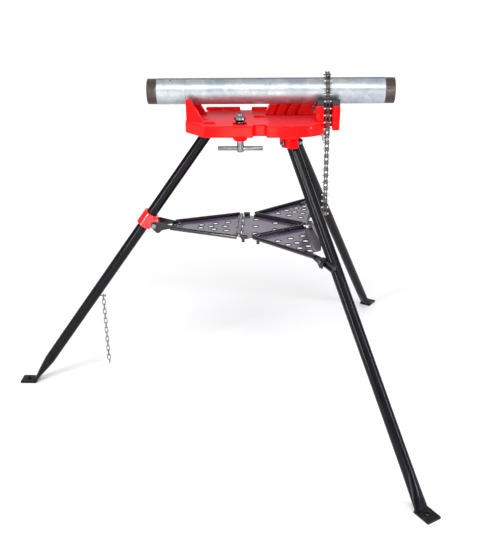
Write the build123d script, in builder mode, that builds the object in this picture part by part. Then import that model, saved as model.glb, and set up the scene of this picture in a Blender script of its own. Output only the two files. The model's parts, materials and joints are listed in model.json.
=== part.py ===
from build123d import *
import os
from math import acos, asin, atan2, cos, degrees, hypot, radians, sin, tan

# Folding three-legged stand with a chain pipe vise, a ceiling-brace screw, a folding tool tray
# and a length of pipe in the vise. Millimetres, +Z up, floor at z = 0, pipe along X.
# The origin is on the floor under the middle of the outline.

# ---- driving dimensions -------------------------------------------------------------------
PIPE_D = 73.0              # 2 1/2 inch steel pipe
PIPE_WALL = 5.2
PIPE_Z = 950.3             # height of the pipe's axis
PIPE_BACK = -330.0         # pipe ends, measured from the column
PIPE_FRONT = 369.0
THREAD_LENGTH = 28.0

PLATE_TOP = 875.0          # working face of the head
RIM_DEPTH = 32.0
PLATE_THICKNESS = 9.0
RIM_WALL = 7.0
RIM_BOTTOM = PLATE_TOP - RIM_DEPTH

TUBE_D = 32.3              # leg tubes
TUBE_WALL = 2.8
SPLAY = 57.25              # plan angle of the two front legs either side of +X
FRONT_TILT = 36.4          # leg lean from vertical
REAR_TILT = 36.2
FRONT_PIVOT_R = 142.6      # plan radius and height of the pivot bolts
FRONT_PIVOT_Z = 828.0
REAR_PIVOT_R = 155.4
REAR_PIVOT_Z = 842.0
FOOT_WIDTH = 42.0
FOOT_LENGTH = 46.0
FOOT_THICKNESS = 7.0
FOOT_HOLE_D = 11.0
FOOT_HOLE_AT = 22.0        # from the heel
HEEL_HEIGHT = 5.0
BOLT_D = 12.0

TRAY_Z = 545.0             # upper face of the tray sheets
SHEET = 1.6
HINGE_Z = 551.0            # axis of the tray's hinges
HINGE_PIN_D = 6.0
KNUCKLE_D = 11.0
RAIL_D = 11.0
RAIL_Z = 550.0
MID_HINGE_X = -72.0        # hinge between the rear leaf and the middle leaf
CORNER_X = -36.0           # where the slanting hinges start
APEX_X = 138.0             # where the slanting hinges meet
TRAY_HOLE_D = 17.0
REAR_PIN_X = -332.0
REAR_PIN_Z = 555.0
WING_PIN_R = 328.6
WING_PIN_Z = 541.0

CHAIN_X = 180.0
CHAIN_PITCH = 19.05
CHAIN_PLATE_H = 14.4
CHAIN_PIN_D = 5.2
CHAIN_PIN_LENGTH = 21.5
CHAIN_RUN_LEAN = 12.0      # lean of the chain between the pipe and the horns
TAIL_LINKS = 15

BRACE_X = -63.5
BRACE_Y = -98.0
BRACE_D = 20.0

RUNNING = 0.05             # radial clearance of a running fit
GAP = 0.3                  # standing gap between parts that lie on each other

# ---- derived ------------------------------------------------------------------------------
front_toe_r = (FRONT_PIVOT_R + (FRONT_PIVOT_Z - HEEL_HEIGHT) * tan(radians(FRONT_TILT))) + FOOT_LENGTH
rear_toe_r = (REAR_PIVOT_R + (REAR_PIVOT_Z - HEEL_HEIGHT) * tan(radians(REAR_TILT))) + FOOT_LENGTH
reach_forward = front_toe_r * cos(radians(SPLAY)) + FOOT_WIDTH / 2 * sin(radians(SPLAY))
COLUMN_X = (rear_toe_r - reach_forward) / 2
PIPE_R = PIPE_D / 2
TUBE_R = TUBE_D / 2
apex_distance = APEX_X * cos(radians(SPLAY))

os.makedirs("parts", exist_ok=True)


def finish(piece, label):
    """Name a finished piece and write its file."""
    piece.part.label = label
    export_step(piece.part, f"parts/{label}.step")
    print(label, len(piece.part.solids()), round(piece.part.volume))


def level(z, x=0.0, y=0.0):
    """Horizontal plane at height z, with its origin on or near the column axis."""
    return Plane(origin=(COLUMN_X + x, y, z))


def facing_right(y, x=0.0, z=0.0):
    """Upright plane whose sketch axes are X and Z and whose normal is -Y."""
    return Plane(origin=(COLUMN_X + x, y, z), x_dir=(1, 0, 0), z_dir=(0, -1, 0))


def facing_front(x, y=0.0, z=0.0):
    """Upright plane whose sketch axes are Y and Z and whose normal is +X."""
    return Plane(origin=(COLUMN_X + x, y, z), x_dir=(0, 1, 0), z_dir=(1, 0, 0))


def radial(azimuth, offset=0.0):
    """Upright plane through the column axis: sketch axes are radius and height."""
    a = radians(azimuth)
    side = (sin(a), -cos(a), 0)
    origin = (COLUMN_X + offset * side[0], offset * side[1], 0)
    return Plane(origin=origin, x_dir=(cos(a), sin(a), 0), z_dir=side)


def wing_plane(z):
    """Level plane of the right wing: origin at the apex, x along the slanting hinge, y outward."""
    a = radians(SPLAY)
    return Plane(origin=(COLUMN_X + APEX_X, 0, z), x_dir=(-sin(a), -cos(a), 0), z_dir=(0, 0, 1))


# ---- fold geometry ------------------------------------------------------------------------
def swing(pivot_r, pivot_z, pin_r, pin_z, angle):
    """Where a leg carries a pin when the leg has folded inward by angle (radians)."""
    length = hypot(pin_r - pivot_r, pin_z - pivot_z)
    start = atan2(pin_r - pivot_r, pivot_z - pin_z)
    return pivot_r + length * sin(start - angle), pivot_z - length * cos(start - angle)


def front_lift():
    """Rise of the middle leaf and turn of the wings when the front legs stand upright."""
    pin_r, pin_z = swing(FRONT_PIVOT_R, FRONT_PIVOT_Z, WING_PIN_R, WING_PIN_Z, radians(FRONT_TILT))
    reach = hypot(WING_PIN_R - apex_distance, WING_PIN_Z - HINGE_Z)
    rest = atan2(WING_PIN_Z - HINGE_Z, WING_PIN_R - apex_distance)
    folded = -acos((pin_r - apex_distance) / reach)
    return pin_z - reach * sin(folded) - HINGE_Z, rest - folded


LIFT, WING_TURN = front_lift()


def rear_fold():
    """Turn of the rear leg and of the rear leaf for the same rise of the middle leaf."""
    reach = hypot(REAR_PIN_X - MID_HINGE_X, REAR_PIN_Z - HINGE_Z)
    low, high = radians(10), radians(45)
    for _ in range(60):
        middle = (low + high) / 2
        pin_r, pin_z = swing(REAR_PIVOT_R, REAR_PIVOT_Z, -REAR_PIN_X, REAR_PIN_Z, middle)
        if hypot(pin_r + MID_HINGE_X, pin_z - HINGE_Z - LIFT) > reach:
            low = middle
        else:
            high = middle
    rest = atan2(REAR_PIN_Z - HINGE_Z, -REAR_PIN_X + MID_HINGE_X)
    return middle, rest - atan2(pin_z - HINGE_Z - LIFT, pin_r + MID_HINGE_X)


REAR_FOLD, REAR_TURN = rear_fold()


def leg_path(pivot_r, pivot_z, pin_r, pin_z, hinge_r, fold, turn):
    """Points that a leaf's pin passes beside its leg while the stand folds, on the open leg."""
    reach = hypot(pin_r - hinge_r, pin_z - HINGE_Z)
    rest = atan2(pin_z - HINGE_Z, pin_r - hinge_r)
    points = []
    for step in range(13):
        t = step / 12
        r = hinge_r + reach * cos(rest - turn * t)
        z = HINGE_Z + LIFT * t + reach * sin(rest - turn * t)
        points.append(swing(pivot_r, pivot_z, r, z, -fold * t))
    return points


print("column x", round(COLUMN_X, 2), "lift", round(LIFT, 3), "wing turn", round(degrees(WING_TURN), 3))
print("rear fold", round(degrees(REAR_FOLD), 3), "rear leaf turn", round(degrees(REAR_TURN), 3))


# ---- head casting -------------------------------------------------------------------------
HEAD_BACK = -222.0
HEAD_SIDE = 134.0
NOTCH = (-27.0, 10.0)
NOTCH_DEPTH = 24.0
VISE_BACK = 146.0
VISE_FRONT = 213.0
VISE_HALF = 84.0
HORN_TOP = 919.0
SLOT_HALF = 12.0
SLOT_FLOOR = 38.0          # how far the chain slots stop from the pipe's centre plane
V_SLOPE = 20.0
REST_SLOPE = 28.0
REST_HALF = 62.0           # pipe rest: half width, outer face, thickness of its ears, top and inner foot
REST_FACE = -217.0
REST_EAR = 9.0
REST_TOP = 936.0
REST_FOOT = -168.0
FRONT_TOOL_HOLE = (-150, -87)
BACK_TOOL_HOLE = (-12, 12)
SMALL_HOLE = (-168, -30)
JAW_HEIGHT = 16.0
JAW_BOLT_Y = 34.0
JAW_BOLT_Z = 897.0
SOCKET_HALF = TUBE_R + 1.0
SOCKET_WALL = 5.5
SOCKET_CLEARANCE_R = 22.5
ROOM_SKIN = 1.0            # rim left outside the leg rooms
ROOM_ROOF = 2.0            # and roof left on the hoods where they stand out from the rim
HOOD_FRONT_X = 97.0        # the front hoods end flush with this upright plane


def vee_height(slope, y, gap=0.0):
    """Height of a straight V face that lies against the pipe, at distance y from its axis."""
    r = PIPE_R + gap
    return PIPE_Z - r * cos(radians(slope)) + (y - r * sin(radians(slope))) * tan(radians(slope))


def head_outline(inset):
    """Plan outline of the head plate, made smaller all round by inset."""
    with BuildSketch() as shape:
        with BuildLine():
            Polyline((180, 52), (180, -52))
            ThreePointArc((180, -52), (147.7, -110.7), (85, -HEAD_SIDE))
            Polyline((85, -HEAD_SIDE), (-27, -HEAD_SIDE), (-160, -131), (HEAD_BACK, -52), (HEAD_BACK, 52),
                     (-160, 131), (85, HEAD_SIDE))
            ThreePointArc((85, HEAD_SIDE), (147.7, 110.7), (180, 52))
        make_face()
        back = shape.vertices().group_by(Axis.X)[0]
        fillet(back, radius=22)
        if inset:
            offset(amount=-inset, mode=Mode.REPLACE)
    return shape.sketch


def socket(azimuth, pivot_r, pivot_z, tilt, skirt):
    """Hood that holds the top of one leg, open inward and downward."""
    lean = tan(radians(tilt))
    outer = (TUBE_R + 1.2) / cos(radians(tilt))
    bottom = pivot_z - skirt
    wall = SOCKET_WALL / cos(radians(tilt))

    def axis_r(z):
        return pivot_r + (pivot_z - z) * lean

    with BuildPart() as hood:
        with BuildSketch(radial(azimuth)):
            with BuildLine():
                Polyline((pivot_r - 24, PLATE_TOP - 5), (pivot_r - 24, pivot_z - 6),
                         (pivot_r - 10, pivot_z - 15),
                         (axis_r(bottom) + outer - 12, bottom), (axis_r(bottom) + outer + wall, bottom),
                         (axis_r(pivot_z + 14) + outer + wall, pivot_z + 14),
                         (axis_r(pivot_z + 14) + outer + wall, PLATE_TOP - 5), close=True)
            make_face()
        extrude(amount=SOCKET_HALF + SOCKET_WALL, both=True)
    return hood.part


def socket_room(azimuth, pivot_r, pivot_z, tilt, skirt):
    """Space that the top of a leg sweeps inside its hood."""
    lean = tan(radians(tilt))
    outer = (TUBE_R + 1.2) / cos(radians(tilt))
    low = pivot_z - skirt - 2

    def outer_r(z):
        return pivot_r + (pivot_z - z) * lean + outer

    with BuildPart() as room:
        with BuildSketch(radial(azimuth)):
            with BuildLine():
                Polyline((pivot_r - 40, pivot_z), (pivot_r - 40, low), (outer_r(low), low),
                         (outer_r(pivot_z + 8), pivot_z + 8), (pivot_r, pivot_z + 8), close=True)
            make_face()
            with Locations((pivot_r, pivot_z)):
                Circle(SOCKET_CLEARANCE_R)
        extrude(amount=SOCKET_HALF, both=True)
        with BuildSketch(radial(azimuth)):
            with Locations((pivot_r, pivot_z)):
                Circle(BOLT_D / 2)
        extrude(amount=60, both=True)
    return room.part


sockets = [(180, REAR_PIVOT_R, REAR_PIVOT_Z, REAR_TILT, 12),
           (-SPLAY, FRONT_PIVOT_R, FRONT_PIVOT_Z, FRONT_TILT, 11),
           (SPLAY, FRONT_PIVOT_R, FRONT_PIVOT_Z, FRONT_TILT, 11)]

hoods = [socket(*place) for place in sockets]
rooms = [socket_room(*place) for place in sockets]
plate_outline = head_outline(0)
plate_room = head_outline(RIM_WALL)
room_outline = head_outline(ROOM_SKIN)
BRACE_BOSS_BOTTOM = 829.0
SCREW_LUG = (57.7, 16.0, 838.0)    # chain screw: distance from the centre plane, lug radius, lug foot

with BuildPart() as leg_rooms:
    add(rooms)
    with BuildSketch(level(RIM_BOTTOM - ROOM_ROOF)):
        Rectangle(700, 500)
        add(room_outline, mode=Mode.SUBTRACT)
    extrude(amount=RIM_DEPTH, mode=Mode.SUBTRACT)

with BuildPart() as head_casting:
    with BuildSketch(level(RIM_BOTTOM)):
        add(plate_outline)
    extrude(amount=RIM_DEPTH)
    with BuildSketch(level(RIM_BOTTOM)):
        add(plate_room)
    extrude(amount=RIM_DEPTH - PLATE_THICKNESS, mode=Mode.SUBTRACT)
    # ribs under the plate
    with BuildSketch(level(RIM_BOTTOM + 6)):
        Rectangle(380, 7)
        with Locations((20, 0)):
            Rectangle(7, 2 * HEAD_SIDE - 12)
        with Locations((-110, 0)):
            Rectangle(7, 2 * HEAD_SIDE - 14)
    extrude(amount=RIM_DEPTH - PLATE_THICKNESS - 5)
    # leg hoods, kept inside the rim above its lower edge
    add(hoods)
    with BuildSketch(level(RIM_BOTTOM)):
        Rectangle(700, 500)
        add(plate_outline, mode=Mode.SUBTRACT)
    extrude(amount=RIM_DEPTH, mode=Mode.SUBTRACT)
    with BuildSketch(level(RIM_BOTTOM, HOOD_FRONT_X)):
        Rectangle(100, 2 * HEAD_SIDE + 80, align=(Align.MIN, Align.CENTER))
    extrude(amount=-60, mode=Mode.SUBTRACT)
    # notch in the front edge, with its own wall
    with BuildSketch(level(RIM_BOTTOM, (NOTCH[0] + NOTCH[1]) / 2, -HEAD_SIDE + NOTCH_DEPTH / 2)):
        RectangleRounded(NOTCH[1] - NOTCH[0] + 14, NOTCH_DEPTH + 14, 10)
    extrude(amount=RIM_DEPTH)
    with BuildSketch(level(RIM_BOTTOM, 0, -HEAD_SIDE - 10)):
        Rectangle(120, 20, align=(Align.CENTER, Align.CENTER))
    extrude(amount=RIM_DEPTH, mode=Mode.SUBTRACT)
    with BuildSketch(level(RIM_BOTTOM, (NOTCH[0] + NOTCH[1]) / 2, -HEAD_SIDE)):
        RectangleRounded(NOTCH[1] - NOTCH[0], 2 * NOTCH_DEPTH, 7)
    extrude(amount=RIM_DEPTH, mode=Mode.SUBTRACT)
    # vise block with the horns in front
    with BuildSketch(level(RIM_BOTTOM)):
        with Locations(((VISE_BACK + 178) / 2, 0)):
            Rectangle(178 - VISE_BACK, 2 * VISE_HALF - 14)
    extrude(amount=HORN_TOP - RIM_BOTTOM)
    with BuildSketch(facing_front(VISE_BACK)):
        with BuildLine():
            Polyline((-VISE_HALF, 884), (-VISE_HALF, HORN_TOP), (VISE_HALF, HORN_TOP), (VISE_HALF, 884),
                     (44, 856), (-44, 856), close=True)
        make_face()
    extrude(amount=VISE_FRONT - VISE_BACK)
    horn_width = (VISE_FRONT - VISE_BACK) / 2 - SLOT_HALF + 1
    horn_places = [(VISE_BACK + horn_width / 2, -VISE_HALF + 11),
                   (VISE_FRONT - horn_width / 2, -VISE_HALF + 11),
                   (VISE_BACK + horn_width / 2, VISE_HALF - 11),
                   (VISE_FRONT - horn_width / 2, VISE_HALF - 11)]
    with BuildSketch(level(HORN_TOP)):
        with Locations(*horn_places):
            RectangleRounded(horn_width, 24, 9)
    extrude(amount=-(HORN_TOP - 853))
    # bender lobes behind the pipe
    with BuildSketch(facing_right(44)):
        with BuildLine():
            Polyline((0, PLATE_TOP - 4), (VISE_BACK + 2, PLATE_TOP - 4), (VISE_BACK + 2, 915), (26, 915),
                     (20, 911), close=True)
        make_face()
    extrude(amount=-48)
    # fences along the back edge
    with BuildSketch(level(PLATE_TOP - 1)):
        with Locations((-125, HEAD_SIDE - 9)):
            Rectangle(104, 8)
        with Locations((-6, HEAD_SIDE - 12)):
            Rectangle(64, 8)
    extrude(amount=12)
    # pipe rest: two gusset ears and the wall between them
    with BuildSketch(facing_front(REST_FACE)):
        with BuildLine():
            Polyline((-REST_HALF, PLATE_TOP - 5), (-REST_HALF, 932), (-52, vee_height(REST_SLOPE, 52)),
                     (0, PLATE_TOP + 16), (52, vee_height(REST_SLOPE, 52)), (REST_HALF, 932),
                     (REST_HALF, PLATE_TOP - 5), close=True)
        make_face()
    extrude(amount=14)
    for ear_y in (-REST_HALF, REST_HALF - REST_EAR):
        with BuildSketch(facing_right(ear_y)):
            with BuildLine():
                Polyline((REST_FACE, PLATE_TOP - 5), (REST_FACE, REST_TOP - 10), (REST_FACE + 6, REST_TOP),
                         (REST_FACE + 14, REST_TOP), (REST_FOOT, PLATE_TOP), (REST_FOOT, PLATE_TOP - 5),
                         close=True)
            make_face()
        extrude(amount=-REST_EAR)
    # boss for the ceiling-brace screw
    with BuildSketch(level(PLATE_TOP - 2, BRACE_X, BRACE_Y)):
        Circle(25)
    extrude(amount=-(PLATE_TOP - 2 - RIM_BOTTOM))
    with BuildSketch(level(RIM_BOTTOM, BRACE_X, BRACE_Y)):
        Circle(25)
    extrude(amount=-(RIM_BOTTOM - BRACE_BOSS_BOTTOM), taper=28)
    # cuts
    add(leg_rooms.part, mode=Mode.SUBTRACT)
    with BuildSketch(facing_front(VISE_BACK - 8)):
        with BuildLine():
            Polyline((-VISE_HALF - 8, HORN_TOP), (-68, HORN_TOP), (-12, vee_height(V_SLOPE, 12) - JAW_HEIGHT),
                     (12, vee_height(V_SLOPE, 12) - JAW_HEIGHT), (68, HORN_TOP), (VISE_HALF + 8, HORN_TOP),
                     (VISE_HALF + 8, HORN_TOP + 30), (-VISE_HALF - 8, HORN_TOP + 30), close=True)
        make_face()
    extrude(amount=VISE_FRONT - VISE_BACK + 16, mode=Mode.SUBTRACT)
    with BuildSketch(level(RIM_BOTTOM - 20)):
        with Locations((CHAIN_X, -SLOT_FLOOR - 40), (CHAIN_X, SLOT_FLOOR + 40)):
            Rectangle(2 * SLOT_HALF, 80)
    extrude(amount=120, mode=Mode.SUBTRACT)
    with BuildSketch(level(HORN_TOP - 30, VISE_BACK + (VISE_FRONT - VISE_BACK) / 2)):
        Rectangle(VISE_FRONT - VISE_BACK + 20, 2 * 10)
    extrude(amount=40, mode=Mode.SUBTRACT)
    # chain-screw lug across the back slot
    with BuildSketch(level(SCREW_LUG[2], CHAIN_X, SCREW_LUG[0])):
        Rectangle(2 * SLOT_HALF + 8, 2 * SCREW_LUG[1])
    extrude(amount=28)
    with BuildSketch(level(SCREW_LUG[2] - 1, CHAIN_X, SCREW_LUG[0])):
        Circle(7 + RUNNING)
    extrude(amount=40, mode=Mode.SUBTRACT)
    # grooves between the bender lobes
    for groove_x in (40, 72, 102):
        with BuildSketch(facing_right(43)):
            with Locations((groove_x, 894)):
                Rectangle(5, 60, rotation=-24)
        extrude(amount=-9, mode=Mode.SUBTRACT)
    # holes in the plate, with the ribs kept clear of them
    with BuildSketch(level(RIM_BOTTOM)):
        with Locations(BACK_TOOL_HOLE, SMALL_HOLE):
            Circle(20)
    extrude(amount=RIM_DEPTH - PLATE_THICKNESS, mode=Mode.SUBTRACT)
    with BuildSketch(level(PLATE_TOP + 1)):
        with Locations(FRONT_TOOL_HOLE):
            Circle(16)
        with Locations(BACK_TOOL_HOLE):
            Circle(17)
        with Locations(SMALL_HOLE):
            Circle(6)
    extrude(amount=-RIM_DEPTH, mode=Mode.SUBTRACT)
    with BuildSketch(level(PLATE_TOP + 1, BRACE_X, BRACE_Y)):
        Circle(19)
    extrude(amount=-15, mode=Mode.SUBTRACT)
    with BuildSketch(level(PLATE_TOP, BRACE_X, BRACE_Y)):
        Circle(BRACE_D / 2 + RUNNING)
    extrude(amount=-60, mode=Mode.SUBTRACT)
    # jaw bolts' seats
    with BuildSketch(facing_front(VISE_BACK - 1)):
        with Locations((-JAW_BOLT_Y, JAW_BOLT_Z), (JAW_BOLT_Y, JAW_BOLT_Z)):
            Circle(4)
    extrude(amount=24, mode=Mode.SUBTRACT)
finish(head_casting, "head_casting")


# ---- jaws ---------------------------------------------------------------------------------
def jaw(side):
    """Hardened V jaw insert of one side, with a slot for the chain and cross teeth."""
    inner, outer = 11.0, 67.0
    face = [(side * inner, vee_height(V_SLOPE, inner, GAP)), (side * outer, vee_height(V_SLOPE, outer, GAP))]
    with BuildPart() as block:
        with BuildSketch(facing_front(VISE_BACK + 4)):
            with BuildLine():
                Polyline(face[0], face[1], (side * (outer + 4), vee_height(V_SLOPE, outer) - 3),
                         (side * (outer + 4), HORN_TOP), (side * 68, HORN_TOP),
                         (side * inner, vee_height(V_SLOPE, inner + 1) - JAW_HEIGHT + 0.4), close=True)
            make_face()
        extrude(amount=VISE_FRONT - VISE_BACK - 4)
        with BuildSketch(level(HORN_TOP - 60)):
            with Locations((CHAIN_X, side * (SLOT_FLOOR + 40))):
                Rectangle(2 * SLOT_HALF, 80)
        extrude(amount=120, mode=Mode.SUBTRACT)
        with BuildSketch(facing_front(VISE_BACK)):
            for tooth in range(9):
                y = side * (16 + tooth * 5.6)
                with Locations((y, vee_height(V_SLOPE, abs(y), GAP))):
                    Rectangle(1.5, 1.5, rotation=45 + side * V_SLOPE)
        extrude(amount=VISE_FRONT - VISE_BACK + 10, mode=Mode.SUBTRACT)
    return block


for side, name in ((-1, "jaw_right"), (1, "jaw_left")):
    finish(jaw(side), name)


def screw_with_head(plane, shank_d, shank_length, head_d, head_height):
    """Hexagon-head screw: the head stands on the plane and the shank goes through it."""
    with BuildPart() as screw:
        with BuildSketch(plane):
            RegularPolygon(head_d / 2, 6)
        extrude(amount=head_height)
        with BuildSketch(plane):
            Circle(shank_d / 2)
        extrude(amount=-shank_length)
    return screw.part


with BuildPart() as jaw_bolts:
    for y in (-JAW_BOLT_Y, JAW_BOLT_Y):
        seat = Plane(origin=(COLUMN_X + VISE_BACK, y, JAW_BOLT_Z), z_dir=(-1, 0, 0))
        add(screw_with_head(seat, 8, 22, 13, 5))
finish(jaw_bolts, "jaw_bolts")


# ---- leg pivots and legs ------------------------------------------------------------------
half_grip = SOCKET_HALF + SOCKET_WALL
with BuildPart() as pivot_bolts:
    for azimuth, pivot_r, pivot_z, tilt, skirt in sockets:
        side = radial(azimuth, half_grip)
        seat = Plane(origin=side.from_local_coords((pivot_r, pivot_z, 0)), x_dir=side.x_dir, z_dir=side.z_dir)
        add(screw_with_head(seat, BOLT_D, 2 * half_grip + 14, 19, 7))
finish(pivot_bolts, "pivot_bolts")

with BuildPart() as pivot_nuts:
    for azimuth, pivot_r, pivot_z, tilt, skirt in sockets:
        with BuildSketch(radial(azimuth, -half_grip)):
            with Locations((pivot_r, pivot_z)):
                RegularPolygon(9.5, 6)
                Circle(BOLT_D / 2, mode=Mode.SUBTRACT)
        extrude(amount=-10)
finish(pivot_nuts, "pivot_nuts")


def leg(azimuth, pivot_r, pivot_z, tilt):
    """Steel tube from its pivot bolt to a flattened foot turned out along the floor."""
    t = radians(tilt)
    down = (sin(t), -cos(t))
    length = (pivot_z - HEEL_HEIGHT) / cos(t)
    top = 9.0
    flat = 95.0
    base = radial(azimuth)
    along = (Vector(base.x_dir) * down[0] + Vector(0, 0, 1) * down[1])

    def across(distance):
        point = (pivot_r + down[0] * distance, pivot_z + down[1] * distance, 0)
        return Plane(origin=base.from_local_coords(point), x_dir=base.z_dir, z_dir=along)

    heel_r = pivot_r + down[0] * length
    with BuildPart() as piece:
        with BuildSketch(across(-top)):
            Circle(TUBE_R)
        extrude(amount=length + top - flat)
        with BuildSketch(across(length - flat)):
            Circle(TUBE_R)
        with BuildSketch(across(length - flat / 3)):
            Ellipse(FOOT_WIDTH / 2 - 1.5, 9)
        with BuildSketch(across(length)):
            Ellipse(FOOT_WIDTH / 2, 4)
        loft()
        with BuildSketch(Plane(origin=(COLUMN_X, 0, 0), x_dir=base.x_dir, z_dir=(0, 0, 1))):
            with Locations((heel_r + FOOT_LENGTH / 2 - 3, 0)):
                Rectangle(FOOT_LENGTH + 6, FOOT_WIDTH)
        extrude(amount=FOOT_THICKNESS)
        with BuildSketch(across(-top - 1)):
            Circle(TUBE_R - TUBE_WALL)
        extrude(amount=length + top - flat - 8, mode=Mode.SUBTRACT)
        with BuildSketch(base):
            with Locations((pivot_r, pivot_z)):
                Circle(BOLT_D / 2 + RUNNING)
        extrude(amount=30, both=True, mode=Mode.SUBTRACT)
        with BuildSketch(Plane(origin=(COLUMN_X, 0, -1), x_dir=base.x_dir, z_dir=(0, 0, 1))):
            with Locations((heel_r + FOOT_HOLE_AT, 0)):
                Circle(FOOT_HOLE_D / 2)
        extrude(amount=30, mode=Mode.SUBTRACT)
    return piece


leg_places = {"leg_rear": (180, REAR_PIVOT_R, REAR_PIVOT_Z, REAR_TILT),
              "leg_front_right": (-SPLAY, FRONT_PIVOT_R, FRONT_PIVOT_Z, FRONT_TILT),
              "leg_front_left": (SPLAY, FRONT_PIVOT_R, FRONT_PIVOT_Z, FRONT_TILT)}
for name, place in leg_places.items():
    finish(leg(*place), name)


# ---- collar on the rear leg ---------------------------------------------------------------
COLLAR_R = 23.8
COLLAR_BALL_R = 33.0       # the collar's barrel shape is cut from a ball
COLLAR_LENGTH = 47.0
COLLAR_Z = 569.5
FORK_INNER = 24.2          # half distance between the fork's cheeks
FORK_CHEEK = 3.0
rear_lean = tan(radians(REAR_TILT))
collar_r = REAR_PIVOT_R + (REAR_PIVOT_Z - COLLAR_Z) * rear_lean
leg_axis = Vector(-sin(radians(REAR_TILT)), 0, -cos(radians(REAR_TILT)))
collar_plane = Plane(origin=(COLUMN_X - collar_r, 0, COLLAR_Z), x_dir=(0, 1, 0), z_dir=leg_axis)

with BuildPart() as collar:
    with BuildSketch(collar_plane):
        Circle(COLLAR_R)
    extrude(amount=COLLAR_LENGTH / 2, both=True)
    with Locations(collar_plane):
        Sphere(COLLAR_BALL_R, mode=Mode.INTERSECT)
    with BuildSketch(facing_right(-FORK_INNER + GAP)):
        with Locations((REAR_PIN_X, REAR_PIN_Z)):
            Circle(10.5)
        with Locations((REAR_PIN_X - 12, REAR_PIN_Z + 13)):
            Rectangle(26, 24, rotation=-36)
    extrude(amount=-2 * (FORK_INNER - GAP))
    with BuildSketch(collar_plane):
        Circle(TUBE_R)
    extrude(amount=COLLAR_LENGTH, both=True, mode=Mode.SUBTRACT)
    with BuildSketch(facing_right(0)):
        with Locations((REAR_PIN_X, REAR_PIN_Z)):
            Circle(4)
    extrude(amount=40, both=True, mode=Mode.SUBTRACT)
finish(collar, "collar")


# ---- tray: middle leaf --------------------------------------------------------------------
HINGE_EDGE = 7.0           # every sheet stops this far from its hinge axis
LIP_PLACE = 8.1            # upstand beside a hinge: distance from the axis, and thickness
LIP_THICKNESS = 1.2
STUB_D = 9.0               # short feet under the leaves, beside the hinges
STUB_LENGTH = 11.0
half_width = (APEX_X - CORNER_X) / tan(radians(SPLAY))
column_u = APEX_X * sin(radians(SPLAY))     # where a front leg's plane crosses the slanting hinge
rear_hinge = Plane(origin=(COLUMN_X + MID_HINGE_X, 0, HINGE_Z), x_dir=(0, 1, 0), z_dir=(0, 0, 1))

def barrel(plane, start, stop, clearance):
    """One hinge knuckle along the x axis of a plane that lies in the hinge axis."""
    axis_plane = Plane(origin=plane.from_local_coords((start, 0, 0)), z_dir=plane.x_dir)
    with BuildPart() as knuckle:
        with BuildSketch(axis_plane):
            Circle(KNUCKLE_D / 2)
            Circle(HINGE_PIN_D / 2 + clearance, mode=Mode.SUBTRACT)
        extrude(amount=stop - start)
    return knuckle.part


def web(plane, start, stop, toward):
    """Flat strip that ties one knuckle to the sheet below it; toward is the sheet's side."""
    drop = HINGE_Z - TRAY_Z
    width = HINGE_EDGE + 6
    with BuildPart() as strip:
        with BuildSketch(plane.offset(-drop - SHEET)):
            with Locations(((start + stop) / 2, toward * (width / 2 + 1.5))):
                Rectangle(stop - start, width - 3)
        extrude(amount=SHEET + 1.2)
        with BuildSketch(Plane(origin=plane.from_local_coords((start, 0, 0)), x_dir=plane.y_dir,
                               z_dir=plane.x_dir)):
            with Locations((toward * 3.6, -4.6)):
                Rectangle(2.6, 3.6)
        extrude(amount=stop - start)
    return strip.part


def lip(plane, start, stop, toward):
    """Low upstand on a sheet's edge beside its hinge."""
    with BuildPart() as strip:
        with BuildSketch(plane.offset(TRAY_Z - SHEET - HINGE_Z)):
            with Locations(((start + stop) / 2, toward * (LIP_PLACE + LIP_THICKNESS / 2))):
                Rectangle(stop - start, LIP_THICKNESS)
        extrude(amount=HINGE_Z - TRAY_Z + SHEET)
    return strip.part


def knuckle_places(start, stop, count):
    """Start and end of each knuckle along a hinge, with a working gap between them."""
    step = (stop - start) / count
    return [(start + n * step + 0.4, start + (n + 1) * step - 0.4) for n in range(count)]


def hinge_half(plane, places, toward, clearance):
    """Knuckles and webs of one leaf of a hinge."""
    with BuildPart() as half:
        for start, stop in places:
            add(barrel(plane, start, stop, clearance))
            add(web(plane, start, stop, toward))
    return half.part


def rail(start, end):
    """Rolled edge of a tray leaf: a tube on a low wall, between two plan points."""
    direction = Vector(end[0] - start[0], end[1] - start[1], 0)
    length = direction.length
    across = direction.normalized().cross(Vector(0, 0, 1))
    plane = Plane(origin=(start[0], start[1], RAIL_Z), x_dir=across, z_dir=direction)
    with BuildPart() as tube:
        with BuildSketch(plane):
            Circle(RAIL_D / 2)
            with Locations((0, (RAIL_Z - TRAY_Z + SHEET) / 2 * (1 if plane.y_dir.Z < 0 else -1))):
                Rectangle(SHEET, RAIL_Z - TRAY_Z + SHEET)
        extrude(amount=length)
    return tube.part


def mirrored(piece):
    """The left-hand twin of a right-hand piece."""
    with BuildPart() as twin:
        add(mirror(piece.part, about=Plane.XZ, mode=Mode.PRIVATE))
    return twin


slant_hinge = wing_plane(HINGE_Z)
rear_knuckles = knuckle_places(-100, 100, 7)
slant_knuckles = knuckle_places(24, 192, 6)
slant_edge_u = half_width / cos(radians(SPLAY))
middle_tabs = hinge_half(rear_hinge, rear_knuckles[0::2], -1, 0)
slant_tabs = hinge_half(slant_hinge, slant_knuckles[0::2], -1, 0)
middle_lip = lip(rear_hinge, -103, 103, -1)
slant_lip = lip(slant_hinge, 18, 198, -1)
edge_start_x = APEX_X - HINGE_EDGE / cos(radians(SPLAY))
edge_end_x = edge_start_x - half_width * tan(radians(SPLAY))
middle_rail = rail((COLUMN_X + MID_HINGE_X + HINGE_EDGE, -half_width),
                   (COLUMN_X + edge_end_x + 3, -half_width))

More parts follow.
